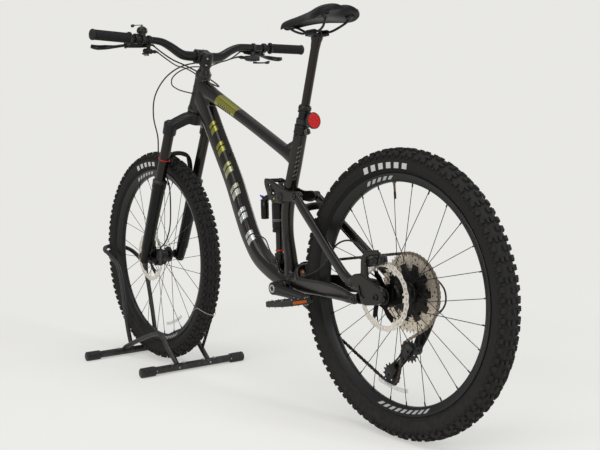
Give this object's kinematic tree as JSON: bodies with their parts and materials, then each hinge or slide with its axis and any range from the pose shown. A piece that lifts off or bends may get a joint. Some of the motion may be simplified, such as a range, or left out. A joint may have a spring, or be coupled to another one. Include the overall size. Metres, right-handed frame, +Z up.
{
  "type": "bicycle on stand",
  "caption": "Full-suspension trail bicycle held upright by its front wheel in a tubular floor stand; wheels, cranks, steering, suspension, saddle post and levers all move.",
  "frame": {"origin": "on the floor at the middle of the bounding box, in the wheels' plane, under the down tube", "axes": "+X forwards towards the front wheel, +Y to the rider's left, +Z up"},
  "size_m": [2.0226, 0.8092, 1.1567],
  "materials": {
    "frame_paint": "satin metallic charcoal",
    "black_alloy": "satin black anodised",
    "stanchion": "polished black anodised",
    "fork_paint": "gloss black",
    "rim": "satin black",
    "tyre": "matte moulded rubber",
    "grip_rubber": "matte ribbed",
    "saddle_cover": "matte smooth cover over foam",
    "dark_steel": "blackened",
    "rotor_steel": "brushed",
    "cog_steel": "satin",
    "chain_steel": "oiled brown",
    "black_plastic": "matte",
    "hose": "satin",
    "reflector_red": "clear red prism",
    "stand_paint": "satin black powder coat"
  },
  "bodies": {
    "frame": {"frame": "frame_paint", "seat_clamp": "black_alloy", "dropper_outer": "black_alloy", "rear_reflector": "reflector_red", "chain": "chain_steel", "front_brake_hose": "hose", "rear_brake_hose": "hose", "shift_housing": "hose", "dropper_housing": "hose"},
    "seat_post": {"dropper_post": "stanchion", "saddle": "saddle_cover", "saddle_rails": "dark_steel"},
    "steering": {"fork_uppers": "black_alloy", "stem": "black_alloy", "handlebar": "black_alloy", "grip_left": "grip_rubber", "grip_right": "grip_rubber", "brake_body_left": "black_alloy", "brake_body_right": "black_alloy", "shifter": "black_plastic", "dropper_remote": "black_alloy", "bell": "black_alloy"},
    "fork_lower": {"fork_lowers": "fork_paint", "front_caliper": "black_alloy"},
    "front_wheel": {"front_tyre": "tyre", "front_rim": "rim", "front_hub": "dark_steel", "front_rotor": "rotor_steel"},
    "stand": {"stand_hoop": "stand_paint", "stand_rear_foot": "stand_paint", "stand_rail_left": "stand_paint", "stand_rail_right": "stand_paint", "wheel_strap": "black_plastic"},
    "chainstay": {"chainstay": "frame_paint", "rear_brake_hose_tail": "hose"},
    "seatstay": {"seatstay": "frame_paint", "rear_axle": "black_alloy", "rear_caliper": "black_alloy", "derailleur": "black_alloy"},
    "rear_wheel": {"rear_tyre": "tyre", "rear_rim": "rim", "rear_hub": "dark_steel", "rear_rotor": "rotor_steel"},
    "cassette": {"cassette": "cog_steel"},
    "cage": {"derailleur_cage": "black_alloy"},
    "upper_pulley": {"upper_pulley": "black_plastic"},
    "lower_pulley": {"lower_pulley": "black_plastic"},
    "rocker": {"rocker": "frame_paint"},
    "shock_lower": {"shock_shaft": "stanchion"},
    "shock_upper": {"shock_body": "black_alloy"},
    "crank": {"crank_left": "black_alloy", "crank_right": "black_alloy", "chainring": "black_alloy"},
    "pedal_left": {"pedal_left": "black_plastic"},
    "pedal_right": {"pedal_right": "black_plastic"},
    "brake_lever_left": {"brake_blade_left": "black_alloy"},
    "brake_lever_right": {"brake_blade_right": "black_alloy"},
    "shift_lever": {"shift_lever": "black_alloy"},
    "dropper_lever": {"dropper_lever": "black_alloy"},
    "striker": {"bell_striker": "black_plastic"}
  },
  "joints": [
    {"name": "suspension", "type": "hinge", "parent": "frame", "child": "chainstay", "pos_m": [-0.22131, 0, 0.372], "axis": [0, 1, 0], "range_deg": [0, 20], "stiffness_Nm_per_rad": 1700, "springref_deg": -2.86, "deforming": ["rear_brake_hose_tail", "chain"]},
    {"name": "horst_pivot", "type": "hinge", "parent": "chainstay", "child": "seatstay", "pos_m": [-0.55031, 0, 0.361], "axis": [0, 1, 0], "range_deg": [-13.3, 0.2]},
    {"name": "rocker_swing", "type": "hinge", "parent": "frame", "child": "rocker", "pos_m": [-0.16231, 0, 0.61], "axis": [0, 1, 0], "range_deg": [-0.2, 57.52]},
    {"name": "shock_lean", "type": "hinge", "parent": "frame", "child": "shock_lower", "pos_m": [-0.11731, 0, 0.418], "axis": [0, 1, 0], "range_deg": [-0.2, 1.87]},
    {"name": "shock_slide", "type": "slide", "parent": "shock_lower", "child": "shock_upper", "axis": [-0.0138, 0, -0.9999], "range_m": [-0.0005, 0.05251]},
    {"name": "rear_spin", "type": "hinge", "parent": "seatstay", "child": "rear_wheel", "pos_m": [-0.63631, 0, 0.375], "axis": [0, 1, 0], "continuous": true},
    {"name": "crank_spin", "type": "hinge", "parent": "frame", "child": "crank", "pos_m": [-0.18131, 0, 0.35], "axis": [0, 1, 0], "continuous": true},
    {"name": "cassette_spin", "type": "hinge", "parent": "seatstay", "child": "cassette", "pos_m": [-0.63631, 0, 0.375], "axis": [0, 1, 0], "continuous": true},
    {"name": "cage_swing", "type": "hinge", "parent": "seatstay", "child": "cage", "pos_m": [-0.63431, 0, 0.224], "axis": [0, 1, 0], "range_deg": [-10, 30], "stiffness_Nm_per_rad": 4},
    {"name": "upper_pulley_spin", "type": "hinge", "parent": "cage", "child": "upper_pulley", "pos_m": [-0.63631, 0, 0.222], "axis": [0, 1, 0], "continuous": true},
    {"name": "lower_pulley_spin", "type": "hinge", "parent": "cage", "child": "lower_pulley", "pos_m": [-0.56331, 0, 0.149], "axis": [0, 1, 0], "continuous": true},
    {"name": "pedal_left_spin", "type": "hinge", "parent": "crank", "child": "pedal_left", "pos_m": [-0.35076, 0, 0.33637], "axis": [0, 1, 0], "continuous": true},
    {"name": "pedal_right_spin", "type": "hinge", "parent": "crank", "child": "pedal_right", "pos_m": [-0.01186, 0, 0.36363], "axis": [0, 1, 0], "continuous": true},
    {"name": "dropper_slide", "type": "slide", "parent": "frame", "child": "seat_post", "axis": [-0.2957, 0, 0.9553], "range_m": [-0.15, 0]},
    {"name": "steer", "type": "hinge", "parent": "frame", "child": "steering", "pos_m": [0.57649, 0, 0.3661], "axis": [-0.4067, 0, 0.9135], "range_deg": [-60, 60], "deforming": ["rear_brake_hose", "shift_housing", "dropper_housing"]},
    {"name": "fork_slide", "type": "slide", "parent": "steering", "child": "fork_lower", "axis": [-0.4067, 0, 0.9135], "range_m": [0, 0.14], "stiffness_N_per_m": 6500, "springref_m": -0.03, "deforming": ["front_brake_hose"]},
    {"name": "front_spin", "type": "hinge", "parent": "fork_lower", "child": "front_wheel", "pos_m": [0.61669, 0, 0.384], "axis": [0, 1, 0], "continuous": true},
    {"name": "stand_release", "type": "slide", "parent": "fork_lower", "child": "stand", "axis": [0, 0, -1], "range_m": [0, 0.3]},
    {"name": "brake_left_pull", "type": "hinge", "parent": "steering", "child": "brake_lever_left", "pos_m": [0.32813, 0.263, 1.09013], "axis": [0, 0, 1], "range_deg": [0, 14], "stiffness_Nm_per_rad": 2, "springref_deg": -5.73},
    {"name": "brake_right_pull", "type": "hinge", "parent": "steering", "child": "brake_lever_right", "pos_m": [0.32813, -0.263, 1.09013], "axis": [0, 0, -1], "range_deg": [0, 14], "stiffness_Nm_per_rad": 2, "springref_deg": -5.73},
    {"name": "shift_lever_push", "type": "hinge", "parent": "steering", "child": "shift_lever", "pos_m": [0.29588, -0.213, 1.05679], "axis": [0, 0, 1], "range_deg": [-25, 0], "stiffness_Nm_per_rad": 0.5, "springref_deg": 5.73},
    {"name": "dropper_lever_push", "type": "hinge", "parent": "steering", "child": "dropper_lever", "pos_m": [0.30453, 0.202, 1.06173], "axis": [0, 0, -1], "range_deg": [0, 25], "stiffness_Nm_per_rad": 0.5, "springref_deg": -5.73},
    {"name": "bell_strike", "type": "hinge", "parent": "steering", "child": "striker", "pos_m": [0.29233, 0.222, 1.14993], "axis": [0, 0, 1], "range_deg": [0, 40], "stiffness_Nm_per_rad": 0.05, "springref_deg": -5.73}
  ],
  "couplings": [
    {"joint": "horst_pivot", "follows": "suspension", "ratio": -0.655},
    {"joint": "rocker_swing", "follows": "suspension", "ratio": 2.866},
    {"joint": "shock_lean", "follows": "suspension", "ratio": 0.0835},
    {"joint": "shock_slide", "follows": "suspension", "m_per_rad": 0.149},
    {"joint": "cassette_spin", "follows": "crank_spin", "ratio": 0.62745},
    {"joint": "upper_pulley_spin", "follows": "crank_spin", "ratio": -2.2857},
    {"joint": "lower_pulley_spin", "follows": "crank_spin", "ratio": 2.2857}
  ]
}
